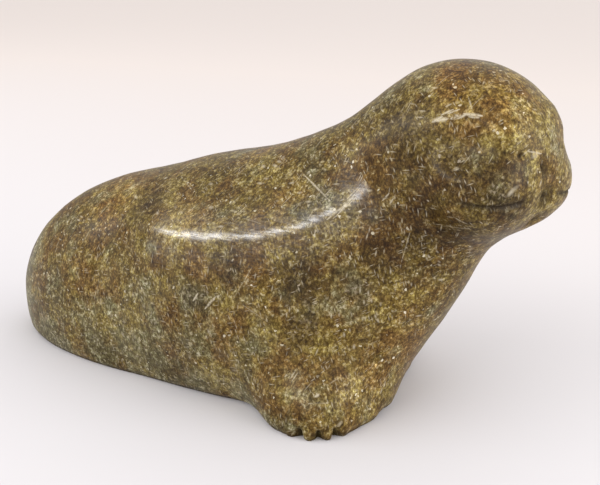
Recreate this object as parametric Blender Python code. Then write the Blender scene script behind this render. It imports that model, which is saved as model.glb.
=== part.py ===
# Seal figurine, carved from one piece of mottled soapstone and polished.
#
# The seal lies on its belly, with its head raised and turned a little to its
# right. +X is the way the body points, +Y is its left flank, +Z is up, and
# the origin is at the bottom centre of the body's box. Units are metres.
#
# The stone is one solid. Its rounded masses, such as rump, barrel, neck and
# head, are rounded boxes of three radii that flow into each other over a
# stated width. A skin of rings is laid over them along the middle of the
# body, the flat base is sawn off, and the fine lines are gouged out last.

import math

import bmesh
import bpy
import numpy as np

for thing in list(bpy.data.objects):
    bpy.data.objects.remove(thing, do_unlink=True)

# Rump and belly: the long rear mass, tipped up a little towards the front.
RUMP_PLACE = (-0.0186, 0.0, 0.0114)
RUMP_RADII = (0.0449, 0.0218, 0.0289)
RUMP_PITCH = 10.3

# Barrel: the widest part, at the shoulders.
BARREL_PLACE = (0.0062, 0.0, 0.0204)
BARREL_RADII = (0.0268, 0.0252, 0.0246)
BARREL_PITCH = 4.7

# Neck: a long mass that leans forward, set a little to the right.
NECK_PLACE = (0.0214, -0.0031, 0.0271)
NECK_RADII = (0.0212, 0.0162, 0.0330)
NECK_LEAN = 41.8

# Head: turned to the right by HEAD_TURN and nodded down by HEAD_NOD.
HEAD_PLACE = (0.0454, -0.0040, 0.0513)
HEAD_RADII = (0.0169, 0.0135, 0.0147)
HEAD_TURN = 20.0
HEAD_NOD = 8.1

# Whisker pads and jaw, measured from the head's centre along its own axes.
PAD_REACH = 0.0079
PAD_DROP = 0.0052
PAD_SPREAD = 0.0056
PAD_RADII = (0.0083, 0.0083, 0.0076)
PAD_SPLAY = 14.0
JAW_REACH = 0.0039
JAW_DROP = 0.0090
JAW_RADII = (0.0087, 0.0082, 0.0048)
JAW_PITCH = 20.0

# Shallow eye hollow under each brow, as a rounded gouge into the head.
EYE_REACH = 0.0085
EYE_SPREAD = 0.0157
EYE_LIFT = 0.0035
EYE_RADII = (0.0065, 0.0042, 0.0040)
EYE_SPLAY = 50.0

# Breast between the front flippers, and the flippers themselves.
BREAST_PLACE = (0.0195, 0.0, 0.0060)
BREAST_RADII = (0.0085, 0.0136, 0.0142)
FLIPPER_RADII = (0.0084, 0.0114, 0.0084)
RIGHT_FLIPPER_PLACE = (0.0242, -0.0162, 0.0010)
LEFT_FLIPPER_PLACE = (0.0174, 0.0162, 0.0010)
FLIPPER_SPLAY = 6.0

# How full each mass is: 2 is an ellipsoid, and more is nearer to a box.
OVAL = 2.0
RUMP_FULLNESS = 2.13
BARREL_FULLNESS = 2.2
NECK_FULLNESS = 2.2
HEAD_FULLNESS = 2.1
BREAST_FULLNESS = 2.3
FLIPPER_FULLNESS = 2.7

# Widths over which one mass flows into the next.
BODY_BLEND = 0.012
HEAD_BLEND = 0.010
PAD_BLEND = 0.0035
JAW_BLEND = 0.005
BREAST_BLEND = 0.008
FLIPPER_BLEND = 0.0110
EYE_BLEND = 0.003

# Soft ridge along each flank, from the rump up to the neck, and the shallow
# saddle above it. The ridge is a bow from its start to its end, pulled
# towards its bend, and the three places are those on the left flank.
RIDGE_START = (-0.0230, 0.0175, 0.0318)
RIDGE_BEND = (0.0175, 0.0292, 0.0291)
RIDGE_END = (0.0320, 0.0168, 0.0460)
RIDGE_RISE = 0.0010
RIDGE_WIDTH = 0.0050
SADDLE_DEPTH = 0.0010
SADDLE_WIDTH = 0.0065
SADDLE_INSET = 0.0085
SADDLE_LIFT = 0.0065
RIDGE_FADE = 0.12
SADDLE_FADE = 0.30

# Gouged lines: the greatest half width of each gouge.
MOUTH_GOUGE = 0.00060
LIP_GOUGE = 0.00055
TOE_GOUGE = 0.00075
TOE_NOTCH_HEIGHT = 0.0022

# How far below the sawn base the uncut stone reaches.
SAW_WASTE = 0.003

# Mouth and lip lines, as degrees round and up from the head's centre.
MOUTH_FROM = 53.0
MOUTH_TO = 11.0
MOUTH_HEIGHT = -19.5
MOUTH_SAG = 1.5
LIP_ROUND_FROM = -2.0
LIP_ROUND_TO = 11.0
LIP_FROM = -8.0
LIP_TO = -44.0

# Toe notches, as degrees round from the middle of a flipper to its outside.
# The right flipper has one more, towards the breast.
TOE_NOTCHES = (86.0, 67.0, 50.0)
INNER_NOTCH = -33.0

# Fineness of the skin and of the gouges.
RINGS = 66
RING_POINTS = 64
CAP_SHARE = 0.20
GOUGE_SIDES = 8
GOUGE_STEPS = 12
TOE_STEPS = 7
BOW_STEPS = 8
WALK_STEPS = 80


def turned(yaw=0.0, pitch=0.0):
    """Matrix that turns by yaw about Z after tipping the nose up by pitch."""
    y = math.radians(yaw)
    p = math.radians(pitch)
    about_z = np.array([[math.cos(y), -math.sin(y), 0], [math.sin(y), math.cos(y), 0], [0, 0, 1]])
    about_y = np.array([[math.cos(p), 0, -math.sin(p)], [0, 1, 0], [math.sin(p), 0, math.cos(p)]])
    return about_z @ about_y


def mass(points, place, radii, power, yaw=0.0, pitch=0.0):
    """Signed distance to a rounded mass with this place, size and turn."""
    local = np.abs((points - np.array(place)) @ turned(yaw, pitch)) / np.array(radii)
    local = np.maximum(local, 1e-9)
    size = (local ** power).sum(-1) ** (1 / power)
    slope = local ** (power - 1) / np.array(radii) * size[..., None] ** (1 - power)
    return (size - 1) / np.sqrt((slope ** 2).sum(-1))


def joined(a, b, width):
    """Union of two distances that flow into each other over a width."""
    share = np.clip(0.5 + 0.5 * (b - a) / width, 0, 1)
    return b * (1 - share) + a * share - width * share * (1 - share)


def carved(a, b, width):
    """Distance a with b taken out of it, rounded over a width."""
    return -joined(-a, b, width)


def near_path(points, path):
    """Distance to a path of straight runs, and how far along it that is."""
    lengths = np.linalg.norm(np.diff(path, axis=0), axis=1)
    nearest = np.full(points.shape[:-1], np.inf)
    share = np.zeros(points.shape[:-1])
    passed = 0.0
    for start, run, length in zip(path[:-1], np.diff(path, axis=0), lengths):
        step = np.clip((points - start) @ run / length ** 2, 0, 1)
        distance = np.linalg.norm(points - start - step[..., None] * run, axis=-1)
        share = np.where(distance < nearest, (passed + step * length) / lengths.sum(), share)
        nearest = np.minimum(nearest, distance)
        passed += length
    return nearest, share


def bowed(start, bend, end):
    """Path of short runs that bows from its start to its end by its bend."""
    t = np.linspace(0, 1, BOW_STEPS + 1)[:, None]
    return (1 - t) ** 2 * np.array(start) + 2 * t * (1 - t) * np.array(bend) + t ** 2 * np.array(end)


def swell(points, path, width, fade):
    """Bell-shaped band along a path, 1 on it and fading out at both ends."""
    distance, share = near_path(points, path)
    ends = np.clip(share / fade, 0, 1) * np.clip((1 - share) / fade, 0, 1)
    return ends * np.exp(-(distance / width) ** 2)


def in_head(forward, side, up):
    """Place given along the head's own axes, from its centre."""
    return np.array(HEAD_PLACE) + turned(-HEAD_TURN) @ np.array([forward, side, up])


def stone(points):
    """Signed distance to the whole carved seal, before it is sawn flat."""
    d = mass(points, RUMP_PLACE, RUMP_RADII, RUMP_FULLNESS, pitch=RUMP_PITCH)
    barrel = mass(points, BARREL_PLACE, BARREL_RADII, BARREL_FULLNESS, pitch=BARREL_PITCH)
    d = joined(d, barrel, BODY_BLEND)
    neck = mass(points, NECK_PLACE, NECK_RADII, NECK_FULLNESS, pitch=-NECK_LEAN)
    d = joined(d, neck, BODY_BLEND)
    head = mass(points, HEAD_PLACE, HEAD_RADII, HEAD_FULLNESS, -HEAD_TURN, -HEAD_NOD)
    d = joined(d, head, HEAD_BLEND)
    for side in (-1, 1):
        pad = in_head(PAD_REACH, side * PAD_SPREAD, -PAD_DROP)
        d = joined(d, mass(points, pad, PAD_RADII, OVAL, PAD_SPLAY * side - HEAD_TURN), PAD_BLEND)
    jaw = in_head(JAW_REACH, 0.0, -JAW_DROP)
    d = joined(d, mass(points, jaw, JAW_RADII, OVAL, -HEAD_TURN, JAW_PITCH), JAW_BLEND)
    d = joined(d, mass(points, BREAST_PLACE, BREAST_RADII, BREAST_FULLNESS), BREAST_BLEND)
    for place, side in ((RIGHT_FLIPPER_PLACE, -1), (LEFT_FLIPPER_PLACE, 1)):
        flipper = mass(points, place, FLIPPER_RADII, FLIPPER_FULLNESS, FLIPPER_SPLAY * side)
        d = joined(d, flipper, FLIPPER_BLEND)
    for side in (-1, 1):
        mirror = np.array([1, side, 1])
        ridge = bowed(RIDGE_START, RIDGE_BEND, RIDGE_END) * mirror
        saddle = ridge + np.array([0, -SADDLE_INSET, SADDLE_LIFT]) * mirror
        d = d - RIDGE_RISE * swell(points, ridge, RIDGE_WIDTH, RIDGE_FADE)
        d = d + SADDLE_DEPTH * swell(points, saddle, SADDLE_WIDTH, SADDLE_FADE)
        eye = in_head(EYE_REACH, side * EYE_SPREAD, EYE_LIFT)
        hollow = mass(points, eye, EYE_RADII, OVAL, -EYE_SPLAY * side - HEAD_TURN)
        d = carved(d, hollow, EYE_BLEND)
    return np.maximum(d, -SAW_WASTE - points[..., 2])


def surface(starts, directions):
    """Points where rays from inside the stone first come out of it.

    Each ray walks outward in short steps while it is inside, and halving
    then finds the place within its last step.
    """
    stride = 2 * RUMP_RADII[0] / WALK_STEPS
    low = np.zeros(directions.shape[:-1])
    walking = np.ones(low.shape, bool)
    for _ in range(WALK_STEPS):
        walking = walking & (stone(starts + (low + stride)[..., None] * directions) < 0)
        low = np.where(walking, low + stride, low)
    high = low + stride
    for _ in range(20):
        middle = (low + high) / 2
        inside = stone(starts + middle[..., None] * directions) < 0
        low = np.where(inside, middle, low)
        high = np.where(inside, high, middle)
    return starts + low[..., None] * directions


def middle_line(shares):
    """Places and headings along the middle of the body, tail to head."""
    rump_axes = turned(0.0, RUMP_PITCH)
    neck_up = turned(0.0, -NECK_LEAN)[:, 2]
    face = turned(-HEAD_TURN)[:, 0]
    tail = np.array(RUMP_PLACE) + rump_axes @ np.array([-0.40 * RUMP_RADII[0], 0, 0.20 * RUMP_RADII[2]])
    rump = np.array(RUMP_PLACE) + rump_axes @ np.array([0, 0, 0.20 * RUMP_RADII[2]])
    neck = np.array(NECK_PLACE) * np.array([1, 0.5, 1]) + 0.35 * NECK_RADII[2] * neck_up
    head = np.array(HEAD_PLACE) - 0.35 * HEAD_RADII[0] * face
    knots = np.array([2 * tail - rump, tail, rump, BARREL_PLACE, neck, head, 2 * head - neck])
    # each stretch is a cubic through its two knots, headed from knot to knot
    stretch = np.clip(shares * 4, 0, 3.999999)
    first = stretch.astype(int)
    t = (stretch - first)[:, None]
    p0, p1, p2, p3 = (knots[first + k] for k in range(4))
    bend = 2 * p0 - 5 * p1 + 4 * p2 - p3
    twist = 3 * p1 - p0 - 3 * p2 + p3
    places = 0.5 * (2 * p1 + (p2 - p0) * t + bend * t ** 2 + twist * t ** 3)
    headings = (p2 - p0) + 2 * bend * t + 3 * twist * t ** 2
    return places, headings / np.linalg.norm(headings, axis=1)[:, None]


def skin():
    """Body of rings round the middle line, with a fan of rings over each end."""
    share = np.linspace(0, 1, RINGS + 2)
    tilt = math.pi / 2 * (np.clip(share / CAP_SHARE, 0, 1) - 1 + np.clip((share - 1) / CAP_SHARE + 1, 0, 1))
    places, headings = middle_line(np.clip((share - CAP_SHARE) / (1 - 2 * CAP_SHARE), 0, 1))
    across = np.cross([0, 0, 1], headings)
    across = across / np.linalg.norm(across, axis=1)[:, None]
    up = np.cross(headings, across)
    angle = 2 * math.pi * np.arange(RING_POINTS) / RING_POINTS
    ring = np.cos(angle)[None, :, None] * up[:, None, :] + np.sin(angle)[None, :, None] * across[:, None, :]
    rays = ring * np.cos(tilt)[:, None, None] + headings[:, None, :] * np.sin(tilt)[:, None, None]
    found = surface(np.repeat(places[:, None, :], RING_POINTS, axis=1), rays)
    body = bmesh.new()
    rings = [[body.verts.new(point) for point in row] for row in found[1:-1]]
    for lower, upper in zip(rings[:-1], rings[1:]):
        for k in range(RING_POINTS):
            after = (k + 1) % RING_POINTS
            body.faces.new((lower[k], lower[after], upper[after], upper[k]))
    for row, end in ((rings[0], found[0, 0]), (rings[-1], found[-1, 0])):
        pole = body.verts.new(end)
        for k in range(RING_POINTS):
            body.faces.new((row[k], row[(k + 1) % RING_POINTS], pole))
    return body


def head_surface(round_angle, up_angle):
    """Place on the head's surface, by degrees round and up from its centre."""
    r = math.radians(round_angle)
    u = math.radians(up_angle)
    way = turned(-HEAD_TURN) @ np.array([math.cos(u) * math.cos(r), math.cos(u) * math.sin(r), math.sin(u)])
    return surface(np.array(HEAD_PLACE), way)


def spindle(mesh, path, width):
    """Gouge along a path: round in section, swelling from a point and back."""
    path = np.array(path)
    heading = np.gradient(path, axis=0)
    heading = heading / np.linalg.norm(heading, axis=1)[:, None]
    side = np.cross(heading, path.mean(0) - np.array(HEAD_PLACE))
    side = side / np.linalg.norm(side, axis=1)[:, None]
    deep = np.cross(heading, side)
    share = np.linspace(0, 1, len(path))
    radius = width * np.sqrt(np.sin(math.pi * share))
    rings = []
    for k in range(1, len(path) - 1):
        ring = []
        for corner in range(GOUGE_SIDES):
            a = 2 * math.pi * corner / GOUGE_SIDES
            ring.append(mesh.verts.new(path[k] + radius[k] * (math.cos(a) * side[k] + math.sin(a) * deep[k])))
        rings.append(ring)
    for lower, upper in zip(rings[:-1], rings[1:]):
        for k in range(GOUGE_SIDES):
            after = (k + 1) % GOUGE_SIDES
            mesh.faces.new((lower[k], lower[after], upper[after], upper[k]))
    for row, end in ((rings[0], path[0]), (rings[-1], path[-1])):
        tip = mesh.verts.new(end)
        for k in range(GOUGE_SIDES):
            mesh.faces.new((row[k], row[(k + 1) % GOUGE_SIDES], tip))


def mouth_path(side):
    """Mouth line on one cheek, sagging a little in its middle."""
    path = []
    for step in range(GOUGE_STEPS + 1):
        t = step / GOUGE_STEPS
        round_angle = MOUTH_FROM + (MOUTH_TO - MOUTH_FROM) * t
        path.append(head_surface(side * round_angle, MOUTH_HEIGHT - MOUTH_SAG * math.sin(math.pi * t)))
    return path


def lip_path():
    """Line that parts the whisker pads and runs down the chin."""
    path = []
    for step in range(GOUGE_STEPS + 1):
        t = step / GOUGE_STEPS
        round_angle = LIP_ROUND_FROM + (LIP_ROUND_TO - LIP_ROUND_FROM) * t
        path.append(head_surface(round_angle, LIP_FROM + (LIP_TO - LIP_FROM) * t))
    return path


def toe_path(place, side, angle):
    """Short upright notch in the front of a flipper, at its very foot."""
    a = math.radians(side * angle)
    way = np.array([math.cos(a), math.sin(a), 0.0])
    path = []
    for step in range(TOE_STEPS + 1):
        height = TOE_NOTCH_HEIGHT * (2 * step / TOE_STEPS - 1)
        start = np.array([place[0], place[1], max(height, 0.0)])
        foot = surface(start, way)
        path.append((foot[0], foot[1], height))
    return path


def made(name, mesh_data):
    """Object of a bmesh, its faces flat triangles that are turned outward."""
    bmesh.ops.triangulate(mesh_data, faces=mesh_data.faces)
    bmesh.ops.recalc_face_normals(mesh_data, faces=mesh_data.faces)
    mesh = bpy.data.meshes.new(name)
    mesh_data.to_mesh(mesh)
    mesh_data.free()
    thing = bpy.data.objects.new(name, mesh)
    bpy.context.scene.collection.objects.link(thing)
    return thing


def soapstone():
    """Polished brown and olive stone."""
    look = bpy.data.materials.new("mottled_soapstone")
    look.use_nodes = True
    shader = look.node_tree.nodes["Principled BSDF"]
    shader.inputs["Base Color"].default_value = (0.19, 0.14, 0.07, 1.0)
    shader.inputs["Roughness"].default_value = 0.28
    shader.inputs["Metallic"].default_value = 0.0
    return look


# The whole body, with everything below the base sawn off and the cut closed.
body = skin()
everything = body.verts[:] + body.edges[:] + body.faces[:]
sawn = bmesh.ops.bisect_plane(body, geom=everything, plane_co=(0, 0, 0), plane_no=(0, 0, -1), clear_outer=True)
rim = [part for part in sawn["geom_cut"] if isinstance(part, bmesh.types.BMEdge)]
bmesh.ops.edgeloop_fill(body, edges=rim)
seal = made("seal_figurine", body)
seal.data.materials.append(soapstone())

# The gouges, all in one cutter.
gouges = bmesh.new()
for side in (-1, 1):
    spindle(gouges, mouth_path(side), MOUTH_GOUGE)
spindle(gouges, lip_path(), LIP_GOUGE)
for place, side in ((RIGHT_FLIPPER_PLACE, -1), (LEFT_FLIPPER_PLACE, 1)):
    for angle in TOE_NOTCHES:
        spindle(gouges, toe_path(place, side, angle), TOE_GOUGE)
spindle(gouges, toe_path(RIGHT_FLIPPER_PLACE, -1, INNER_NOTCH), TOE_GOUGE)
cutter = made("gouge_cutter", gouges)
cutter.hide_render = True
cutter.display_type = "WIRE"

cut = seal.modifiers.new("gouged_lines", "BOOLEAN")
cut.object = cutter
cut.operation = "DIFFERENCE"
cut.solver = "EXACT"

for polygon in seal.data.polygons:
    polygon.use_smooth = True
seal.data.set_sharp_from_angle(angle=math.radians(40))
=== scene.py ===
import math
import time

import bmesh
import bpy
import numpy as np
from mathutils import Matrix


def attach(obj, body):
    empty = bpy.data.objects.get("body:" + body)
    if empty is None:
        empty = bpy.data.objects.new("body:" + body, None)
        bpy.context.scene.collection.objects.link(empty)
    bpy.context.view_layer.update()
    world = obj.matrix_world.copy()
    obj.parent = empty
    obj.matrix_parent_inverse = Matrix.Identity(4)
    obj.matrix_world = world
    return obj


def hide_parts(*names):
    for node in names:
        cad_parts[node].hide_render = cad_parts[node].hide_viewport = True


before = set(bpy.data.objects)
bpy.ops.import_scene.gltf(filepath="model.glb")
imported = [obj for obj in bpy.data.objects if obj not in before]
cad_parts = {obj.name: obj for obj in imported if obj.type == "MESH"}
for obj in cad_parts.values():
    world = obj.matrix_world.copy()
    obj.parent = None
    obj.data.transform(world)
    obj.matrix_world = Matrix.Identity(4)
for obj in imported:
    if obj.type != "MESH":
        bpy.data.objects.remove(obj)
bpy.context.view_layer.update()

started = time.time()


def tell(stage):
    print(f"[seal] {stage} at {time.time() - started:.1f} s")


# Shape helpers, all on whole arrays of points in metres

def turned(yaw=0.0, pitch=0.0):
    # turn by yaw about Z after tipping the nose up by pitch
    y, p = math.radians(yaw), math.radians(pitch)
    aboutZ = np.array([[math.cos(y), -math.sin(y), 0], [math.sin(y), math.cos(y), 0], [0, 0, 1]])
    aboutY = np.array([[math.cos(p), 0, -math.sin(p)], [0, 1, 0], [math.sin(p), 0, math.cos(p)]])
    return aboutZ @ aboutY


def mass(points, place, radii, fullness, yaw=0.0, pitch=0.0):
    # signed distance to a rounded box: (sum |q|^n)^(1/n) - 1, over its slope
    local = np.abs((points - np.array(place)) @ turned(yaw, pitch)) / np.array(radii)
    local = np.maximum(local, 1e-9)
    size = (local ** fullness).sum(-1) ** (1 / fullness)
    slope = local ** (fullness - 1) / np.array(radii) * size[..., None] ** (1 - fullness)
    return (size - 1) / np.sqrt((slope ** 2).sum(-1))


def joined(a, b, width):
    # the lower of two distances, flowing over a width
    share = np.clip(0.5 + 0.5 * (b - a) / width, 0, 1)
    return b * (1 - share) + a * share - width * share * (1 - share)


def carved(a, b, width):
    # the first shape less the second, flowing over a width
    return -joined(-a, b, width)


def nearPath(points, path):
    # distance to a path of straight runs, and the share of the path passed there
    runs = np.diff(path, axis=0)
    lengths = np.linalg.norm(runs, axis=1)
    nearest = np.full(points.shape[:-1], np.inf)
    share = np.zeros(points.shape[:-1])
    passed = 0.0
    for start, run, length in zip(path[:-1], runs, lengths):
        step = np.clip((points - start) @ run / length ** 2, 0, 1)
        distance = np.linalg.norm(points - start - step[..., None] * run, axis=-1)
        share = np.where(distance < nearest, (passed + step * length) / lengths.sum(), share)
        nearest = np.minimum(nearest, distance)
        passed += length
    return nearest, share


def bowed(start, bend, end, steps=8):
    # quadratic bow from start to end
    t = np.linspace(0, 1, steps + 1)[:, None]
    return (1 - t) ** 2 * np.array(start) + 2 * t * (1 - t) * np.array(bend) + t ** 2 * np.array(end)


def swell(points, path, width, fade):
    # bell-shaped band along a path: exp(-(d/w)^2), fading out at both ends
    distance, share = nearPath(points, path)
    ends = np.clip(share / fade, 0, 1) * np.clip((1 - share) / fade, 0, 1)
    return ends * np.exp(-(distance / width) ** 2)


# The carved seal

seal = {
    # each mass: place, radii, fullness, then yaw and nose-up pitch in degrees
    "rump": ((-0.0186, 0.0, 0.0114), (0.0449, 0.0218, 0.0289), 2.13, 0.0, 10.3),
    "barrel": ((0.0062, 0.0, 0.0204), (0.0268, 0.0252, 0.0246), 2.2, 0.0, 4.7),
    "neck": ((0.0214, -0.0031, 0.0271), (0.0212, 0.0162, 0.0330), 2.2, 0.0, -41.8),
    "head": ((0.0454, -0.0040, 0.0513), (0.0169, 0.0135, 0.0147), 2.1, -20.0, -8.1),
    "breast": ((0.0195, 0.0, 0.0060), (0.0085, 0.0136, 0.0142), 2.3, 0.0, 0.0),
    "flipperRadii": (0.0084, 0.0114, 0.0084),
    "flipperFullness": 2.7,
    "flipperSplay": 6.0,
    "rightFlipper": (0.0242, -0.0162, 0.0010),
    "leftFlipper": (0.0174, 0.0162, 0.0010),
    "headTurn": 20.0,
    "pad": (0.0079, 0.0056, -0.0052),
    "padRadii": (0.0083, 0.0083, 0.0076),
    "padSplay": 14.0,
    "jaw": (0.0039, 0.0, -0.0090),
    "jawRadii": (0.0087, 0.0082, 0.0048),
    "jawPitch": 20.0,
    "eye": (0.0085, 0.0157, 0.0035),
    "eyeRadii": (0.0065, 0.0042, 0.0040),
    "eyeSplay": 50.0,
    "bodyBlend": 0.012,
    "headBlend": 0.010,
    "padBlend": 0.0035,
    "jawBlend": 0.005,
    "breastBlend": 0.008,
    "flipperBlend": 0.0110,
    "eyeBlend": 0.003,
    "ridge": ((-0.0230, 0.0175, 0.0318), (0.0175, 0.0292, 0.0291), (0.0320, 0.0168, 0.0460)),
    "ridgeRise": 0.0010,
    "ridgeWidth": 0.0050,
    "ridgeFade": 0.12,       # share of its length over which a ridge or crest fades out at each end
    "saddleShift": (0.0, -0.0085, 0.0065),
    "saddleDepth": 0.0010,
    "saddleWidth": 0.0065,
    "saddleFade": 0.30,
    # the worn crest, narrower than the ridge: two bows, along the barrel and up the shoulder
    "crestBarrel": ((-0.0130, 0.0210, 0.0326), (0.0056, 0.0270, 0.0326), (0.0237, 0.0213, 0.0382)),
    "crestShoulder": ((0.0237, 0.0213, 0.0382), (0.0300, 0.0184, 0.0407), (0.0322, 0.0167, 0.0460)),
    "crestRise": 0.00036,
    "crestWidth": 0.0034,
    "edgeHeight": 0.0016,    # the base's edge draws in over this height
    "edgeDraw": 0.0006,
    "underFloor": 0.003,     # the skin runs on this far below the floor before it is sawn off
    "rings": 430,
    "ringPoints": 256,
    "tailShare": 0.12,       # share of the rings that close the tail, and the head
    "headShare": 0.30,
    "lowSide": 130.0,        # degrees from the top where the rings' points crowd, over the toes
    "floorSide": 158.0,      # past this the ring lies under the floor, and needs few points
}


def inHead(forward, side, up):
    # place in metres forward, to the left and up from the head's middle
    return np.array(seal["head"][0]) + turned(-seal["headTurn"]) @ np.array([forward, side, up])


def crestPath(side):
    # both bows as one path, on the right for side -1 and on the left for side 1
    path = np.vstack([bowed(*seal["crestBarrel"])[:-1], bowed(*seal["crestShoulder"], 5)])
    return path * np.array([1, side, 1])


def stone(points):
    # signed distance to the seal: masses joined, brows hollowed, flanks ridged and saddled
    d = mass(points, *seal["rump"])
    d = joined(d, mass(points, *seal["barrel"]), seal["bodyBlend"])
    d = joined(d, mass(points, *seal["neck"]), seal["bodyBlend"])
    d = joined(d, mass(points, *seal["head"]), seal["headBlend"])
    forward, spread, up = seal["pad"]
    for side in (-1, 1):
        yaw = seal["padSplay"] * side - seal["headTurn"]
        pad = mass(points, inHead(forward, side * spread, up), seal["padRadii"], 2.0, yaw)
        d = joined(d, pad, seal["padBlend"])
    jaw = mass(points, inHead(*seal["jaw"]), seal["jawRadii"], 2.0, -seal["headTurn"], seal["jawPitch"])
    d = joined(d, jaw, seal["jawBlend"])
    d = joined(d, mass(points, *seal["breast"]), seal["breastBlend"])
    for place, side in ((seal["rightFlipper"], -1), (seal["leftFlipper"], 1)):
        splay = seal["flipperSplay"] * side
        flipper = mass(points, place, seal["flipperRadii"], seal["flipperFullness"], splay)
        d = joined(d, flipper, seal["flipperBlend"])
    forward, spread, up = seal["eye"]
    for side in (-1, 1):
        mirror = np.array([1, side, 1])
        ridge = bowed(*seal["ridge"]) * mirror
        saddle = ridge + np.array(seal["saddleShift"]) * mirror
        d = d - seal["ridgeRise"] * swell(points, ridge, seal["ridgeWidth"], seal["ridgeFade"])
        crest = swell(points, crestPath(side), seal["crestWidth"], seal["ridgeFade"])
        d = d - seal["crestRise"] * crest
        d = d + seal["saddleDepth"] * swell(points, saddle, seal["saddleWidth"], seal["saddleFade"])
        yaw = -seal["eyeSplay"] * side - seal["headTurn"]
        hollow = mass(points, inHead(forward, side * spread, up), seal["eyeRadii"], 2.0, yaw)
        d = carved(d, hollow, seal["eyeBlend"])
    # the edge of the base draws in a little, as sanding leaves it
    low = np.clip(1 - points[..., 2] / seal["edgeHeight"], 0, 1)
    d = d + seal["edgeDraw"] * low ** 2
    return np.maximum(d, -seal["underFloor"] - points[..., 2])


def surface(starts, directions, reach=0.09, walks=45, halvings=15):
    # where rays from inside the stone first come out: short walks, then halving
    stride = reach / walks
    low = np.zeros(directions.shape[:-1])
    walking = np.ones(low.shape, bool)
    for _ in range(walks):
        ahead = (low + stride)[walking]
        start = np.broadcast_to(starts, directions.shape)[walking]
        inside = stone(start + ahead[:, None] * directions[walking]) < 0
        low[walking] = np.where(inside, ahead, low[walking])
        still = walking.copy()
        still[walking] = inside
        walking = still
        if not walking.any():
            break
    high = low + stride
    for _ in range(halvings):
        middle = (low + high) / 2
        inside = stone(starts + middle[..., None] * directions) < 0
        low = np.where(inside, middle, low)
        high = np.where(inside, high, middle)
    return starts + low[..., None] * directions


def middleLine(shares):
    # cubic through six knots along the middle of the body, and its headings
    rump, neck, head = seal["rump"], seal["neck"], seal["head"]
    rumpAxes = turned(0.0, rump[4])
    lift = 0.20 * rump[1][2]
    tailKnot = np.array(rump[0]) + rumpAxes @ np.array([-0.40 * rump[1][0], 0, lift])
    rumpKnot = np.array(rump[0]) + rumpAxes @ np.array([0, 0, lift])
    neckKnot = np.array(neck[0]) * np.array([1, 0.5, 1]) + 0.35 * neck[1][2] * turned(0.0, neck[4])[:, 2]
    headKnot = np.array(head[0]) - 0.35 * head[1][0] * turned(-seal["headTurn"])[:, 0]
    barrelKnot = np.array(seal["barrel"][0])
    knots = np.array([2 * tailKnot - rumpKnot, tailKnot, rumpKnot, barrelKnot, neckKnot, headKnot,
                      2 * headKnot - neckKnot])
    stretch = np.clip(shares * 4, 0, 3.999999)
    first = stretch.astype(int)
    t = (stretch - first)[:, None]
    p0, p1, p2, p3 = (knots[first + k] for k in range(4))
    bend = 2 * p0 - 5 * p1 + 4 * p2 - p3
    twist = 3 * p1 - p0 - 3 * p2 + p3
    places = 0.5 * (2 * p1 + (p2 - p0) * t + bend * t ** 2 + twist * t ** 3)
    headings = (p2 - p0) + 2 * bend * t + 3 * twist * t ** 2
    return places, headings / np.linalg.norm(headings, axis=1)[:, None]


def crowded(density, count):
    # count places from 0 to 1 that crowd where the density is high: its running sum, inverted
    t = np.linspace(0, 1, 2001)
    total = np.concatenate([[0.0], np.cumsum(density(t)[1:])])
    return np.interp(np.linspace(0, total[-1], count), total, t)


def ringDensity(t):
    # one, with a bell over each toe side, and sparse under the floor
    degrees = np.abs(t * 360 - 180)
    side = 1 + 1.6 * np.exp(-((degrees - seal["lowSide"]) / 24) ** 2)
    return np.where(degrees > seal["floorSide"], 0.35, side)


def sealSkin():
    # rings round the middle line at (share, angle), with a fan of rings over each end
    tail, head = seal["tailShare"], seal["headShare"]
    share = np.linspace(0, 1, seal["rings"])
    tilt = math.pi / 2 * (np.clip(share / tail, 0, 1) - 1 + np.clip((share - 1) / head + 1, 0, 1))
    places, headings = middleLine(np.clip((share - tail) / (1 - tail - head), 0, 1))
    across = np.cross([0, 0, 1], headings)
    across = across / np.linalg.norm(across, axis=1)[:, None]
    up = np.cross(headings, across)
    angle = 2 * math.pi * crowded(ringDensity, seal["ringPoints"] + 1)[:-1] - math.pi
    ring = np.cos(angle)[None, :, None] * up[:, None, :] + np.sin(angle)[None, :, None] * across[:, None, :]
    rays = ring * np.cos(tilt)[:, None, None] + headings[:, None, :] * np.sin(tilt)[:, None, None]
    return surface(np.broadcast_to(places[:, None, :], rays.shape), rays)


def outward(points, step=0.00008):
    # the way the distance to the stone grows, from one difference along each axis
    here = stone(points)
    ahead = [stone(points + step * np.eye(3)[k]) - here for k in range(3)]
    slope = np.stack(ahead, -1)
    return slope / np.maximum(np.linalg.norm(slope, axis=-1), 1e-12)[..., None]


def onHead(roundAngle, upAngle):
    # place on the head's surface, by degrees round and up from its centre
    r, u = math.radians(roundAngle), math.radians(upAngle)
    way = np.array([math.cos(u) * math.cos(r), math.cos(u) * math.sin(r), math.sin(u)])
    way = turned(-seal["headTurn"]) @ way
    return surface(np.array(seal["head"][0]), way[None, :])[0]


def headPath(angles):
    return np.array([onHead(*pair) for pair in angles])


def onFlank(x, z):
    # place on the right flank, by x and height in mm
    return surface(np.array([x, 0.0, z]) / 1000, np.array([[0.0, -1.0, 0.0]]))[0]


# paths on the head are pairs of degrees, round from its middle and up

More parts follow.
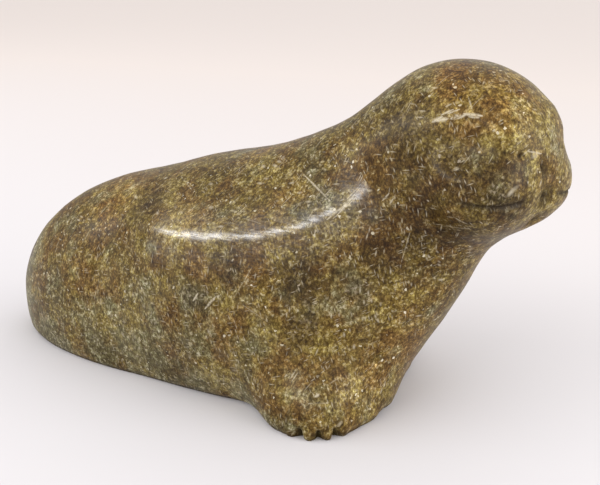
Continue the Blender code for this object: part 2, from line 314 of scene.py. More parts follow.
carving = {
    "mouth": [(r, -20.0 - 1.2 * math.sin(math.pi * k / 12)) for k, r in enumerate(np.linspace(56, 12, 13))],
    "mouthDepth": (0.00060, 0.00035),   # on the right and on the left cheek
    "mouthWidth": 0.00042,
    "lip": [(-7, 2), (-2, -5), (1, -12), (3, -20), (5, -28), (7, -36), (9, -48)],   # parts the whisker pads
    "lipDepth": 0.00095,
    "lipWidth": 0.00060,
    "eyeNick": [(-21, 5), (-19, 3)],
    "eyeNickDepth": 0.00045,
    "eyeNickWidth": 0.00055,
    "eyeNickShade": 0.0007,   # width of the painted shade in it
    "brow": [(17, 36), (24, 22), (28, 13), (31, 7)],
    "browRise": 0.00055,
    "browWidth": 0.0026,
    "browNotch": [(20, 0), (34, -2), (44, -3)],
    "browNotchDepth": 0.00008,
    "browNotchWidth": 0.0012,
    "faceCrest": [(-9, 42), (-4, 24), (0, 10), (2, 3)],   # a faint ridge down the middle of the brow
    "faceCrestRise": 0.00022,
    "faceCrestWidth": 0.0015,
    "browHollow": [(-58, 6), (-46, 1), (-34, -6)],
    "browHollowDepth": 0.00035,
    "browHollowWidth": 0.0026,
    "toeNotches": (86.0, 67.0, 50.0),    # in degrees outward from straight ahead
    "innerNotch": -33.0,
    "notchHeight": 0.0024,
    "notchDepth": 0.00150,
    "notchWidth": 0.00072,
    "toeSwell": 0.00040,     # the toes stand out a little between the notches
    "toeHeight": 0.0022,
    "toeWidth": 0.0011,
    "outerToe": 9.0,         # degrees from the first and the last notch to the toe beyond it
    "softFade": 0.30,        # share of its length over which a soft form fades out at each end
    "wornWidth": 0.0044,     # of the polish that hands leave along the crest
    "wornFade": 0.06,
    # height of the painted shade along the base
    "contactShadeHeight": 0.0010,
    "wobble": 0.00003,       # unevenness that the rasp and sandpaper left
}


def flipperFoot(place, side, angle, height):
    # places up a flipper's rim on one bearing, to a height
    a = math.radians(side * angle)
    heights = np.linspace(-1, 1, 7) * height
    starts = np.array([[place[0], place[1], max(h, 0.0)] for h in heights])
    feet = surface(starts, np.broadcast_to([math.cos(a), math.sin(a), 0.0], starts.shape))
    feet[:, 2] = heights
    return feet


def carveDetail(grid):
    # moves each point inward by the depth of the gouges near it, and tells where painted shade and wear lie
    depth = np.zeros(grid.shape[:-1])
    paintedShade = np.zeros(grid.shape[:-1])
    worn = np.zeros(grid.shape[:-1])
    fade = carving["softFade"]
    for side, mouthDepth in zip((-1, 1), carving["mouthDepth"]):
        paths = {name: headPath([(abs(r) * side, u) for r, u in carving[name]])
                 for name in ("mouth", "eyeNick", "browHollow", "brow", "browNotch")}
        depth += mouthDepth * swell(grid, paths["mouth"], carving["mouthWidth"], 0.20)
        # painted shade in the mouth's groove
        paintedShade = np.maximum(paintedShade, swell(grid, paths["mouth"], 1.2 * carving["mouthWidth"], 0.10))
        depth += carving["eyeNickDepth"] * swell(grid, paths["eyeNick"], carving["eyeNickWidth"], 0.01)
        # painted shade in the eye nick
        paintedShade = np.maximum(paintedShade, swell(grid, paths["eyeNick"], carving["eyeNickShade"], 0.01))
        hollow = swell(grid, paths["browHollow"], carving["browHollowWidth"], fade)
        depth += carving["browHollowDepth"] * hollow
        depth -= carving["browRise"] * swell(grid, paths["brow"], carving["browWidth"], fade)
        depth += carving["browNotchDepth"] * swell(grid, paths["browNotch"], carving["browNotchWidth"], fade)
        worn = np.maximum(worn, swell(grid, crestPath(side), carving["wornWidth"], carving["wornFade"]))
    path = headPath(carving["faceCrest"])
    depth -= carving["faceCrestRise"] * swell(grid, path, carving["faceCrestWidth"], fade)
    path = headPath(carving["lip"])
    depth += carving["lipDepth"] * swell(grid, path, carving["lipWidth"], 0.14)
    # painted shade in the groove that parts the whisker pads
    paintedShade = np.maximum(paintedShade, swell(grid, path, 1.1 * carving["lipWidth"], 0.14))
    notches = carving["toeNotches"]
    toes = [(a + b) / 2 for a, b in zip(notches[:-1], notches[1:])]
    toes = [notches[0] + carving["outerToe"]] + toes + [notches[-1] - carving["outerToe"]]
    for place, side in ((seal["rightFlipper"], -1), (seal["leftFlipper"], 1)):
        inner = (carving["innerNotch"],) if side < 0 else ()
        for angle in notches + inner:
            foot = flipperFoot(place, side, angle, carving["notchHeight"])
            band = swell(grid, foot, carving["notchWidth"], 0.20)
            depth += carving["notchDepth"] * band
            # painted shade in each toe notch
            paintedShade = np.maximum(paintedShade, band)
        for angle in toes:
            foot = flipperFoot(place, side, angle, carving["toeHeight"])
            depth -= carving["toeSwell"] * swell(grid, foot, carving["toeWidth"], 0.20)
    contactShade = np.clip(1 - grid[..., 2] / carving["contactShadeHeight"], 0, 1)   # painted shade: a dark line along the base where it stands on the floor
    paintedShade = np.maximum(paintedShade, 0.85 * contactShade)
    # hand unevenness: products of slow waves along three slanted directions
    mm = grid * 1000
    waves = np.sin(mm @ [0.50, 0.21, 0.34]) * np.sin(mm @ [-0.17, 0.62, 0.29] + 1.3)
    waves = waves + np.sin(mm @ [0.31, -0.44, 0.60] + 0.7) * np.sin(mm @ [0.72, 0.33, -0.25] + 2.1)
    depth += carving["wobble"] * waves * np.clip(grid[..., 2] / 0.004, 0, 1)
    moved = np.abs(depth) > 1e-7
    result = grid.copy()
    result[moved] -= outward(grid[moved]) * depth[moved][:, None]
    return result, {"paintedShade": paintedShade, "worn": worn}


def closedMesh(name, grid, marks):
    # quads between the rings, a pole at each end, sawn flat at the floor
    rings, count = grid.shape[0] - 2, grid.shape[1]
    inner = grid[1:-1].reshape(-1, 3)
    points = np.vstack([inner, grid[0].mean(0), grid[-1].mean(0)])
    row = np.arange(rings - 1)[:, None] * count
    here = np.arange(count)[None, :]
    after = (here + 1) % count
    quads = np.stack([row + here, row + after, row + count + after, row + count + here], -1).reshape(-1, 4)
    last = (rings - 1) * count
    tailFan = np.stack([after[0], here[0], np.full(count, len(inner))], -1)
    headFan = np.stack([last + here[0], last + after[0], np.full(count, len(inner) + 1)], -1)
    mesh = bpy.data.meshes.new(name)
    mesh.from_pydata(points, [], quads.tolist() + tailFan.tolist() + headFan.tolist())
    for mark, share in marks.items():
        shares = np.append(share[1:-1].ravel(), (0, 0)).astype(np.float32)
        mesh.attributes.new(mark, "FLOAT", "POINT").data.foreach_set("value", shares)
    work = bmesh.new()
    work.from_mesh(mesh)
    everything = work.verts[:] + work.edges[:] + work.faces[:]
    sawn = bmesh.ops.bisect_plane(
        work, geom=everything, plane_co=(0, 0, 0), plane_no=(0, 0, -1), clear_outer=True)
    rim = [part for part in sawn["geom_cut"] if isinstance(part, bmesh.types.BMEdge)]
    base = bmesh.ops.edgeloop_fill(work, edges=rim)["faces"]
    bmesh.ops.recalc_face_normals(work, faces=work.faces)
    for face in work.faces:
        face.smooth = True
    for face in base:
        face.material_index = 1
    bmesh.ops.triangulate(work, faces=base)
    work.to_mesh(mesh)
    work.free()
    mesh.set_sharp_from_angle(angle=math.radians(50))
    piece = bpy.data.objects.new(name, mesh)
    bpy.context.scene.collection.objects.link(piece)
    return piece


carvedSeal = closedMesh("carved_seal", *carveDetail(sealSkin()))
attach(carvedSeal, "root")
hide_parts("seal_figurine")
tell(f"seal of {len(carvedSeal.data.polygons)} faces")


# Node helpers

def put(tree, kind, feed=None, **settings):
    # a new node with its settings, each input in feed linked or given its value
    node = tree.nodes.new(kind)
    for name, value in settings.items():
        setattr(node, name, value)
    for name, value in (feed or {}).items():
        socket = node.inputs[name]
        if isinstance(value, bpy.types.NodeSocket):
            tree.links.new(value, socket)
        else:
            socket.default_value = value
    return node


def calc(tree, operation, *values, clamp=False):
    node = put(tree, "ShaderNodeMath", dict(enumerate(values)), operation=operation, use_clamp=clamp)
    return node.outputs[0]


def vector(tree, operation, *values, out=0):
    node = put(tree, "ShaderNodeVectorMath", dict(enumerate(values)), operation=operation)
    return node.outputs[out]


def scaled(tree, place, factor):
    node = put(tree, "ShaderNodeVectorMath", {0: place, "Scale": factor}, operation="SCALE")
    return node.outputs[0]


def spanned(tree, value, low, high, least=0.0, most=1.0, kind="LINEAR"):
    # value from low to high, spread over least to most and held there
    feed = {"Value": value, "From Min": low, "From Max": high, "To Min": least, "To Max": most}
    return put(tree, "ShaderNodeMapRange", feed, interpolation_type=kind).outputs[0]


def noise(tree, place, scale, detail=3.0, rough=0.55, warp=0.0):
    feed = {"Vector": place, "Scale": scale, "Detail": detail, "Roughness": rough, "Distortion": warp}
    return put(tree, "ShaderNodeTexNoise", feed)


def blend(tree, share, a, b, kind="MIX"):
    # colour b over colour a by share; a colour mix keeps its factor and colours at inputs 0, 6 and 7
    node = put(tree, "ShaderNodeMix", {0: share, 6: a, 7: b}, data_type="RGBA", blend_type=kind)
    return node.outputs[2]


def group(name, inputs, outputs):
    # an empty node group, its inputs inside it and what it sends out
    tree = bpy.data.node_groups.new(name, "ShaderNodeTree")
    for label, kind, value in inputs:
        socket = tree.interface.new_socket(label, in_out="INPUT", socket_type=kind)
        if value is not None:
            socket.default_value = value
    for label, kind in outputs:
        tree.interface.new_socket(label, in_out="OUTPUT", socket_type=kind)
    return tree, tree.nodes.new("NodeGroupInput").outputs, tree.nodes.new("NodeGroupOutput").inputs


def use(tree, groupTree, **feed):
    return put(tree, "ShaderNodeGroup", feed, node_tree=groupTree).outputs


# The stone's colours and marks; places inside the groups are in millimetres

mottle = {
    "stirScale": 1.5,
    "stirBy": 0.50,
    "zoneScale": 0.145,      # red-brown against olive, a few mm across
    "zoneEdges": (0.40, 0.58),
    "coolScale": 0.12,       # grey-green clouds
    "coolEdges": (0.54, 0.68),
    "coolShare": 0.85,
    "greyShift": 0.14,       # how far the group's Grey brings the grey-green clouds on
    "shift": (41.0, 7.0, 13.0),
    "broadScale": 0.06,
    "broadPower": 2.9,       # doublings of brightness over the noise's full span
    "midScale": 0.75,
    "midPower": 5.9,
    "fineScale": 2.4,
    "finePower": 7.8,
    "fineStretch": (1.0, 1.0, 0.65),
    "follow": (0.95, 1.10, 1.50),   # how strongly red, green and blue follow the tone
    "fleckScale": 2.7,
    "fleckEdges": (0.90, 1.18),
    "fleckShare": 0.60,
    "chipEdges": (0.992, 0.997),
    "chipShare": 0.85,
    "redBrown": (0.088, 0.046, 0.009),
    "olive": (0.113, 0.075, 0.0135),
    "greyGreen": (0.100, 0.085, 0.034),
    "fleck": (0.420, 0.345, 0.180),
    "paleFleck": (0.540, 0.485, 0.350),
}


def buildMottle():
    # colour zones times 2 to the power of the summed noises, with sparse light flecks on top
    kinds = [("Place", "NodeSocketVector", None), ("Grey", "NodeSocketFloat", 0.0)]
    results = [("Color", "NodeSocketColor"), ("Tone", "NodeSocketFloat")]
    tree, given, sent = group("soapstoneMottle", kinds, results)
    place = given["Place"]
    stir = noise(tree, place, mottle["stirScale"], 2).outputs["Color"]
    stir = vector(tree, "SUBTRACT", stir, (0.5, 0.5, 0.5))
    loose = vector(tree, "ADD", place, scaled(tree, stir, mottle["stirBy"]))
    zone = noise(tree, loose, mottle["zoneScale"], 4, 0.6).outputs["Fac"]
    zone = spanned(tree, zone, *mottle["zoneEdges"])
    shifted = vector(tree, "ADD", loose, mottle["shift"])
    cool = noise(tree, shifted, mottle["coolScale"], 5, 0.65).outputs["Fac"]
    cool = calc(tree, "MULTIPLY_ADD", given["Grey"], mottle["greyShift"], cool)
    cool = spanned(tree, cool, *mottle["coolEdges"])
    base = blend(tree, zone, (*mottle["redBrown"], 1), (*mottle["olive"], 1))
    coolShare = calc(tree, "MULTIPLY", cool, mottle["coolShare"])
    base = blend(tree, coolShare, base, (*mottle["greyGreen"], 1))
    broad = noise(tree, loose, mottle["broadScale"], 2, 0.5).outputs["Fac"]
    middle = noise(tree, shifted, mottle["midScale"], 4, 0.65).outputs["Fac"]
    upright = vector(tree, "MULTIPLY", loose, mottle["fineStretch"])
    fine = noise(tree, upright, mottle["fineScale"], 3, 0.7).outputs["Fac"]
    tone = 0.0
    for value, power in ((broad, "broadPower"), (middle, "midPower"), (fine, "finePower")):
        part = calc(tree, "MULTIPLY", calc(tree, "SUBTRACT", value, 0.5), mottle[power])
        tone = calc(tree, "ADD", part, tone)
    # the light parts are greyer and the dark ones browner, so blue follows the tone most
    steps = {channel: calc(tree, "POWER", 2.0, calc(tree, "MULTIPLY", tone, mottle["follow"][k]))
             for k, channel in enumerate(("Red", "Green", "Blue"))}
    grey = put(tree, "ShaderNodeCombineColor", steps).outputs[0]
    colour = blend(tree, 1.0, base, grey, "MULTIPLY")
    cells = put(tree, "ShaderNodeTexVoronoi", {"Vector": loose, "Scale": mottle["fleckScale"]})
    cells = put(tree, "ShaderNodeSeparateColor", {"Color": cells.outputs["Color"]})
    thick = calc(tree, "MULTIPLY_ADD", calc(tree, "SUBTRACT", middle, 0.5), 1.1, cells.outputs[0])
    thick = calc(tree, "MULTIPLY_ADD", zone, 0.14, thick)
    flecks = calc(tree, "MULTIPLY", spanned(tree, thick, *mottle["fleckEdges"]), mottle["fleckShare"])
    fleckColour = blend(tree, cool, (*mottle["fleck"], 1), (*mottle["paleFleck"], 1))
    colour = blend(tree, flecks, colour, fleckColour)
    chips = spanned(tree, cells.outputs[1], *mottle["chipEdges"])
    chips = calc(tree, "MULTIPLY", chips, mottle["chipShare"])
    colour = blend(tree, chips, colour, (*mottle["paleFleck"], 1))
    tree.links.new(colour, sent["Color"])
    tree.links.new(tone, sent["Tone"])
    return tree


def buildScratch():
    # one straight line, a scratch, a nick or a painted highlight streak: full at the middle of its width,
    # ragged along its length
    kinds = [("Place", "NodeSocketVector", None), ("From", "NodeSocketVector", None),
             ("To", "NodeSocketVector", None), ("Width", "NodeSocketFloat", 0.15)]
    tree, given, sent = group("straightMark", kinds, [("Mask", "NodeSocketFloat")])
    run = vector(tree, "SUBTRACT", given["To"], given["From"])
    back = vector(tree, "SUBTRACT", given["Place"], given["From"])
    along = calc(tree, "DIVIDE", vector(tree, "DOT_PRODUCT", back, run, out=1),
                 vector(tree, "DOT_PRODUCT", run, run, out=1), clamp=True)
    away = vector(tree, "LENGTH", vector(tree, "SUBTRACT", back, scaled(tree, run, along)), out=1)
    # narrows to 0.4 of its width at both ends: 0.4 + 0.6 * 4 t (1 - t)
    taper = calc(tree, "MULTIPLY", calc(tree, "MULTIPLY", along, calc(tree, "SUBTRACT", 1.0, along)), 4.0)
    width = calc(tree, "MULTIPLY", given["Width"], calc(tree, "MULTIPLY_ADD", taper, 0.6, 0.4))
    line = calc(tree, "SUBTRACT", 1.0, calc(tree, "DIVIDE", away, width), clamp=True)
    ragged = spanned(tree, noise(tree, given["Place"], 1.8, 3, 0.7).outputs["Fac"], 0.32, 0.50)
    tree.links.new(calc(tree, "MULTIPLY", line, ragged), sent["Mask"])
    return tree


def buildScuffs():
    # short fine scratches in three directions, each a sparse set of long thin specks
    kinds = [("Place", "NodeSocketVector", None), ("Share", "NodeSocketFloat", 0.3)]
    tree, given, sent = group("fineScuffs", kinds, [("Mask", "NodeSocketFloat")])
    total = 0.0
    # each set: its turn in radians, then the length and width of its cells in mm
    sets = (
        ((0.2, 0.5, 0.9), 4.5, 0.30),
        ((0.9, -0.4, 0.2), 3.0, 0.24),
        ((-0.5, 0.3, 2.1), 6.0, 0.34),
    )
    for turn, length, width in sets:
        feed = {"Vector": given["Place"], "Rotation": turn}
        slanted = put(tree, "ShaderNodeVectorRotate", feed, rotation_type="EULER_XYZ").outputs[0]
        thin = vector(tree, "MULTIPLY", slanted, (1 / length, 1 / width, 0.6))
        cells = put(tree, "ShaderNodeTexVoronoi", {"Vector": thin, "Scale": 1.0, "Randomness": 1.0})
        gap = calc(tree, "DIVIDE", cells.outputs["Distance"], 0.34)
        speck = calc(tree, "SUBTRACT", 1.0, gap, clamp=True)
        luck = put(tree, "ShaderNodeSeparateColor", {"Color": cells.outputs["Color"]}).outputs[0]
        kept = calc(tree, "LESS_THAN", luck, given["Share"])
        total = calc(tree, "MAXIMUM", total, calc(tree, "MULTIPLY", speck, kept))
    tree.links.new(total, sent["Mask"])
    return tree


def buildPatch():
    # a soft blob round a place, its edge broken up by noise
    kinds = [("Place", "NodeSocketVector", None), ("Centre", "NodeSocketVector", None),
             ("Radius", "NodeSocketFloat", 5.0)]
    tree, given, sent = group("softPatch", kinds, [("Mask", "NodeSocketFloat")])
    away = vector(tree, "LENGTH", vector(tree, "SUBTRACT", given["Place"], given["Centre"]), out=1)
    ratio = calc(tree, "DIVIDE", away, given["Radius"])
    edge = calc(tree, "SUBTRACT", noise(tree, given["Place"], 0.35, 4, 0.65).outputs["Fac"], 0.5)
    ratio = calc(tree, "MULTIPLY_ADD", edge, 2.2, ratio)
    tree.links.new(spanned(tree, ratio, 1.15, 0.25, kind="SMOOTHSTEP"), sent["Mask"])
    return tree


soapstoneMottle = buildMottle()
softPatch = buildPatch()
straightMark = buildScratch()
fineScuffs = buildScuffs()

polish = {
    "roughness": 0.42,
    "smudge": 0.20,
    "smudgeScale": 0.45,
    "markRoughness": 0.15,   # what scratches and the painted highlight streaks, pale stone and the painted shade add to the roughness
    "paleRoughness": 0.10,
    "shadeRoughness": 0.4,
    "sheen": 0.13,           # how strongly the satin stone mirrors
    "waxRoughness": 0.24,    # of the crests that hands have polished
    "waxIndex": 1.88,
    "waxElsewhere": 0.03,
    "streakStretch": (0.35, 0.6, 3.2),
    "streakEdges": (0.40, 0.56),
    "streakLeast": 0.30,     # what the streaks leave of the wax where it is thinnest
    # the dark brown of the painted shade in the grooves and along the base, also used for the dark nicks
    "paintedShade": (0.022, 0.014, 0.007),
    "shadeShare": 0.9,
    # pale colour of the scuffs and scratches, and of the painted highlight streaks
    "paleMarkColour": (0.60, 0.53, 0.39),
    "scuffShare": 0.60,
    "scuffCount": 0.16,      # share of the cells that hold a scuff
    "scuffRelief": 0.6,
    "paleColour": (0.26, 0.24, 0.16),
    "paleShare": 0.24,
    "dustScale": 0.16,
    "dustEdges": (0.44, 0.68),
    "lowHeights": (30.0, 3.0),      # mm up, between which the greyer low part comes in
    "lowAlong": (22.0, 6.0),        # and mm along, as the breast isn't greyer
    "grainHeight": 0.000006,
    # darker, paler and warmer patches on the right flank, at mm along and up, with their radius in mm; among
    # them painted shade under the neck and a painted highlight where the crest bends up
    "flankDark": (
        (2.0, 23.0, 5.5), (8.0, 29.0, 4.5), (24.0, 28.0, 6.5), (-16.0, 36.0, 5.0),
        # the two at 36 and 42 mm along are painted shade under the neck
        (36.0, 33.0, 5.0), (42.0, 37.5, 4.5), (22.8, 19.0, 5.0), (31.0, 26.9, 4.0),
    ),
    "flankPale": (
        (-3.5, 34.0, 4.5), (39.5, 22.0, 9.0), (38.0, 15.5, 8.5), (33.5, 7.0, 6.5),
        # the one at 30.2 mm along and 39.2 up is painted highlight, where the crest's reflection of the key
        # light runs up the shoulder
        (15.5, 26.5, 6.0), (19.0, 43.5, 4.5), (30.2, 39.2, 4.5), (26.9, 51.0, 6.0),
    ),
    "flankWarm": ((-30.0, 34.0, 9.0), (-12.0, 44.0, 7.0), (4.0, 46.5, 6.0)),
    # and on the head, at degrees round and up from its middle, with their radius in mm
    "headDark": (
        (-100, 19, 7.5), (-87, 2, 6.5), (-62, -3, 7.5),
        # the one at -63 round and -40 up is painted shade under the jaw
        (-38, -8, 7.0), (-63, -40, 8.5), (-30, -19, 6.0),
    ),
    "headPale": ((-20, 30, 4.5), (-62, 27, 3.0)),
    "headWarm": ((-68, 58, 8.0), (-20, 48, 8.0)),
    "darkTint": (0.56, 0.51, 0.50),
    "paleTint": (1.36, 1.38, 1.48),
    "warmTint": (1.12, 1.00, 0.84),
    # scratches on the right flank, and painted highlight streaks where the crest bends up, each from and to
    # in mm along and up, then width and strength
    "flankScratchesAndGlints": (
        ((19.3, 45.2), (26.5, 42.2), 0.26, 0.85),
        ((-12.0, 40.7), (-6.5, 39.5), 0.20, 0.45),
        ((1.4, 21.5), (2.6, 23.3), 0.26, 0.80),
        ((4.2, 20.5), (6.7, 23.4), 0.34, 0.80),
        ((40.5, 37.8), (39.0, 32.3), 0.18, 0.60),
        ((26.3, 6.8), (29.4, 6.9), 0.26, 0.60),
        ((27.2, 7.9), (27.7, 8.3), 0.40, 0.80),
        ((13.9, 29.8), (10.3, 23.3), 0.16, 0.40),
        ((12.4, 22.6), (17.2, 20.0), 0.15, 0.40),
        # these four are painted highlight: bright streaks of the key light's reflection where the crest
        # bends up the shoulder
        ((26.6, 39.2), (29.4, 41.9), 0.30, 0.75),
        ((28.2, 40.0), (31.2, 44.6), 0.26, 0.85),
        ((29.4, 42.8), (32.2, 46.6), 0.24, 0.80),
        ((27.6, 39.4), (30.4, 42.6), 0.20, 0.75),
        ((35.6, 43.0), (36.8, 44.4), 0.24, 0.70),
        ((37.0, 42.6), (37.6, 43.6), 0.26, 0.60),
        ((3.7, 42.4), (2.8, 44.3), 0.16, 0.45),
        ((10.4, 37.6), (14.5, 37.3), 0.18, 0.35),
    ),
    # dark nicks across the crest's upper end, likewise
    "darkScratches": (
        ((18.4, 37.3), (20.6, 36.2), 0.30, 0.85),
        ((15.6, 35.9), (16.6, 35.2), 0.22, 0.60),
    ),
    # scratches on the head, each from and to in degrees round and up from its middle
    "headScratches": (
        ((-88, 51), (-76, 19), 0.22, 0.60),
        ((-51, 41), (-48, 33), 0.22, 0.70),
        ((-77, 24), (-70, 28), 0.45, 0.85),
        ((-74, 25), (-65, 27), 0.50, 0.90),
        ((-71, 29), (-62, 33), 0.28, 0.80),
        ((-63, 27), (-56, 29), 0.50, 0.90),
        ((-66, 30), (-57, 33), 0.24, 0.80),
        ((-58, 27), (-51, 30), 0.34, 0.85),
        ((-54, 30), (-41, 28), 0.40, 0.90),
        ((-50, 28), (-43, 27), 0.24, 0.70),
        ((-69, 35), (-64, 37), 0.24, 0.60),
        ((-15, 6), (-6, 4), 0.28, 0.80),
        ((-19, 4), (-14, 7), 0.22, 0.70),
        ((-59, -38), (-49, -52), 0.22, 0.70),
        ((-62, -40), (-46, -37), 0.22, 0.65),
        ((-56, -30), (-48, -33), 0.24, 0.55),
    ),
}


def stoneMaterial(name):
    look = bpy.data.materials.new(name)
    look.use_nodes = True
    tree = look.node_tree
    shader = tree.nodes["Principled BSDF"]
    place = scaled(tree, put(tree, "ShaderNodeTexCoord").outputs["Object"], 1000.0)
    return look, tree, shader, place


def heroLines(tree, place, flank, head=()):
    # the scratches, nicks and painted highlight streaks that the eye picks out one by one, joined into one
    # mask
    runs = [(onFlank(*a) * 1000, onFlank(*b) * 1000, w, k) for a, b, w, k in flank]
    runs += [(onHead(*a) * 1000, onHead(*b) * 1000, w, k) for a, b, w, k in head]
    total = 0.0
    for start, end, width, strength in runs:
        line = use(tree, straightMark, Place=place, From=tuple(start), To=tuple(end), Width=width)
        total = calc(tree, "MAXIMUM", total, calc(tree, "MULTIPLY", line["Mask"], strength))
    return total


def patches(tree, place, centres):
    # soft patches round the given places, joined into one mask
    total = 0.0
    for centre, radius in centres:
        patch = use(tree, softPatch, Place=place, Centre=tuple(centre * 1000), Radius=radius)
        total = calc(tree, "MAXIMUM", total, patch["Mask"])
    return total


def patchCentres(kind):
    centres = [(onFlank(x, z), radius) for x, z, radius in polish["flank" + kind]]
    return centres + [(onHead(around, up), radius) for around, up, radius in polish["head" + kind]]


def polishedStone():
    look, tree, shader, place = stoneMaterial("polished_soapstone")
    axes = put(tree, "ShaderNodeSeparateXYZ", {"Vector": place}).outputs
    low = spanned(tree, axes["Z"], *polish["lowHeights"])
    low = calc(tree, "MULTIPLY", low, spanned(tree, axes["X"], *polish["lowAlong"]))
    body = use(tree, soapstoneMottle, Place=place, Grey=low)
    # painted shade in the grooves and along the base, carried on the mesh
    shadeAndNicks = put(tree, "ShaderNodeAttribute", attribute_name="paintedShade").outputs["Fac"]
    # paler and greyer low down, where the stone is less handled
    dust = noise(tree, place, polish["dustScale"], 5, 0.7).outputs["Fac"]
    dust = spanned(tree, dust, *polish["dustEdges"])
    pale = calc(tree, "MULTIPLY", calc(tree, "MULTIPLY_ADD", low, 0.8, 0.2), dust)
    paleShare = calc(tree, "MULTIPLY", pale, polish["paleShare"])
    colour = blend(tree, paleShare, body["Color"], (*polish["paleColour"], 1))
    # tinted patches, among them painted shade under the jaw and neck and a painted highlight where the crest
    # bends up
    for kind, tint in (("Dark", "darkTint"), ("Pale", "paleTint"), ("Warm", "warmTint")):
        mask = patches(tree, place, patchCentres(kind))
        tinted = blend(tree, 1.0, colour, (*polish[tint], 1), "MULTIPLY")
        colour = blend(tree, mask, colour, tinted)
    scuffs = use(tree, fineScuffs, Place=place, Share=polish["scuffCount"])["Mask"]
    scratchesAndGlints = heroLines(tree, place, polish["flankScratchesAndGlints"], polish["headScratches"])
    marks = calc(tree, "MAXIMUM", calc(tree, "MULTIPLY", scuffs, polish["scuffShare"]), scratchesAndGlints)
    nicks = heroLines(tree, place, polish["darkScratches"])
    shadeAndNicks = calc(tree, "MAXIMUM", shadeAndNicks, nicks)
    # scuffs and scratches in a pale colour, which also paints the highlight streaks at the crest's upper end
    colour = blend(tree, marks, colour, (*polish["paleMarkColour"], 1))
    # the painted shade and the dark nicks in dark brown
    colour = blend(tree, calc(tree, "MULTIPLY", shadeAndNicks, polish["shadeShare"]), colour, (*polish["paintedShade"], 1))
    tree.links.new(colour, shader.inputs["Base Color"])
    smudge = noise(tree, place, polish["smudgeScale"], 5, 0.7).outputs["Fac"]
    smudge = calc(tree, "SUBTRACT", smudge, 0.5)
    rough = calc(tree, "MULTIPLY_ADD", smudge, polish["smudge"], polish["roughness"])
    rough = calc(tree, "ADD", rough, calc(tree, "MULTIPLY", marks, polish["markRoughness"]))
    rough = calc(tree, "ADD", rough, calc(tree, "MULTIPLY", pale, polish["paleRoughness"]))
    rough = calc(tree, "ADD", rough, calc(tree, "MULTIPLY", shadeAndNicks, polish["shadeRoughness"]), clamp=True)
    tree.links.new(rough, shader.inputs["Roughness"])
    worn = put(tree, "ShaderNodeAttribute", attribute_name="worn").outputs["Fac"]
    # the wax lies in streaks along the body, and not in the scratches
    streaks = vector(tree, "MULTIPLY", place, polish["streakStretch"])
    streaks = noise(tree, streaks, 1.0, 3, 0.6).outputs["Fac"]
    kept = spanned(tree, streaks, *polish["streakEdges"], least=polish["streakLeast"])
    unmarked = calc(tree, "SUBTRACT", 1.0, calc(tree, "MAXIMUM", marks, nicks))
    kept = calc(tree, "MULTIPLY", kept, unmarked)
    wax = calc(tree, "MULTIPLY_ADD", kept, worn, polish["waxElsewhere"], clamp=True)
    tree.links.new(wax, shader.inputs["Coat Weight"])
    shader.inputs["Coat Roughness"].default_value = polish["waxRoughness"]
    shader.inputs["Coat IOR"].default_value = polish["waxIndex"]
    shader.inputs["Specular IOR Level"].default_value = polish["sheen"]
    relief = calc(tree, "SUBTRACT", body["Tone"], calc(tree, "MULTIPLY", scuffs, polish["scuffRelief"]))
    feed = {"Height": relief, "Strength": 0.6, "Distance": polish["grainHeight"]}
    tree.links.new(put(tree, "ShaderNodeBump", feed).outputs[0], shader.inputs["Normal"])
    return look


sanding = {
    "paleShare": 0.35,
    "paleColour": (0.30, 0.27, 0.20),
    "stretch": (0.12, 2.6, 1.0),    # the strokes run along the body
    "strokeHeight": 0.00008,
}


def sawnStone():
    look, tree, shader, place = stoneMaterial("sanded_soapstone")
    body = use(tree, soapstoneMottle, Place=place, Grey=0.5)
    pale = blend(tree, sanding["paleShare"], body["Color"], (*sanding["paleColour"], 1))
    tree.links.new(pale, shader.inputs["Base Color"])
    strokes = vector(tree, "MULTIPLY", place, sanding["stretch"])
    strokes = noise(tree, strokes, 1.0, 4, 0.6).outputs["Fac"]
    rough = calc(tree, "MULTIPLY_ADD", strokes, 0.2, 0.5)
    tree.links.new(rough, shader.inputs["Roughness"])
    feed = {"Height": strokes, "Strength": 0.6, "Distance": sanding["strokeHeight"]}
    tree.links.new(put(tree, "ShaderNodeBump", feed).outputs[0], shader.inputs["Normal"])
    return look


carvedSeal.data.materials.append(polishedStone())
carvedSeal.data.materials.append(sawnStone())
tell("stone materials")


# Floor, lights and camera

studio = {
    "floor": (0.670, 0.650, 0.665),
    "floorFar": (0.790, 0.720, 0.685),
    "farFrom": 0.5,         # metres behind the seal where the far colour is reached
    "floorReach": 3.0,
    "floorDrop": 0.00005,   # so that the floor doesn't lie in the sawn base
    "dimGlow": 0.22,        # how bright the room is where it is dimmest, and where it is brightest
    "fullGlow": 1.18,
    "glowWay": (0.62, 0.34, 0.71),    # towards its brightest part
    "glowSpan": (-0.75, 0.55),
    "keyBearing": -127.0,   # a wide, low soft box to the seal's right and rear
    "keyHeight": 28.0,
    "keyDistance": 0.80,
    "keySize": (1.20, 0.13),
    "keyPower": 4.8,
    "sideBearing": 2.0,     # a weaker, low soft box ahead of the seal
    "sideHeight": 12.0,
    "sideDistance": 0.50,
    "sideSize": (0.40, 0.30),
    "sidePower": 1.40,
    "cameraPlace": (0.1018, -0.1600, 0.0807),
    "cameraBearing": 30.0,
    "cameraTilt": 16.06,
    "lens": 56.8,
}


def paleFloor():
    look = bpy.data.materials.new("pale_floor")
    look.use_nodes = True
    tree = look.node_tree
    shader = tree.nodes["Principled BSDF"]
    place = put(tree, "ShaderNodeTexCoord").outputs["Object"]
    away = put(tree, "ShaderNodeSeparateXYZ", {"Vector": place}).outputs["Y"]
    far = spanned(tree, away, 0.0, studio["farFrom"])
    colour = blend(tree, far, (*studio["floor"], 1), (*studio["floorFar"], 1))
    tree.links.new(colour, shader.inputs["Base Color"])
    shader.inputs["Roughness"].default_value = 0.9
    shader.inputs["Specular IOR Level"].default_value = 0.2
    return look


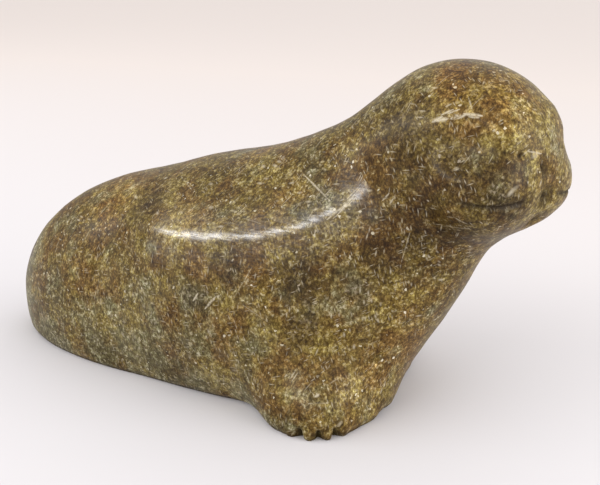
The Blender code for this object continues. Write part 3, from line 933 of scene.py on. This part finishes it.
def softBox(name, bearing, height, distance, size, power):
    # a flat lamp on a bearing and height as seen from the seal, turned to face it
    b, h = math.radians(bearing), math.radians(height)
    lamp = bpy.data.lights.new(name, "AREA")
    lamp.shape = "RECTANGLE"
    lamp.size, lamp.size_y = size
    lamp.energy = power
    box = bpy.data.objects.new(name, lamp)
    way = np.array([math.cos(h) * math.cos(b), math.cos(h) * math.sin(b), math.sin(h)])
    box.location = way * distance + np.array([0, 0, 0.03])
    box.rotation_euler = (math.radians(90 - height), 0, b + math.pi / 2)
    bpy.context.scene.collection.objects.link(box)


def roomGlow():
    # brightest high up ahead and to the seal's left, dimmest low down at its right and rear
    world = bpy.data.worlds.new("studio")
    world.use_nodes = True
    tree = world.node_tree
    way = put(tree, "ShaderNodeTexCoord").outputs["Generated"]
    lean = vector(tree, "DOT_PRODUCT", way, studio["glowWay"], out=1)
    glow = spanned(tree, lean, *studio["glowSpan"], studio["dimGlow"], studio["fullGlow"], "SMOOTHSTEP")
    background = tree.nodes["Background"]
    background.inputs["Color"].default_value = (1.0, 0.985, 0.98, 1)
    tree.links.new(glow, background.inputs["Strength"])
    return world


floorMesh = bpy.data.meshes.new("floor")
reach, drop = studio["floorReach"], -studio["floorDrop"]
corners = [(-reach, -reach, drop), (reach, -reach, drop), (reach, reach, drop), (-reach, reach, drop)]
floorMesh.from_pydata(corners, [], [(0, 1, 2, 3)])
floorMesh.materials.append(paleFloor())
floor = bpy.data.objects.new("floor", floorMesh)
bpy.context.scene.collection.objects.link(floor)

for kind in ("key", "side"):
    facts = [studio[kind + fact] for fact in ("Bearing", "Height", "Distance", "Size", "Power")]
    softBox(kind + "_light", *facts)
bpy.context.scene.world = roomGlow()

bpy.context.scene.view_settings.view_transform = "Standard"
eye = bpy.data.cameras.new("camera")
eye.sensor_width = 36.0
eye.lens = studio["lens"]
eye.clip_start = 0.005
camera = bpy.data.objects.new("camera", eye)
camera.location = studio["cameraPlace"]
camera.rotation_euler = (math.radians(90 - studio["cameraTilt"]), 0, math.radians(studio["cameraBearing"]))
bpy.context.scene.collection.objects.link(camera)
bpy.context.scene.camera = camera
tell("studio")
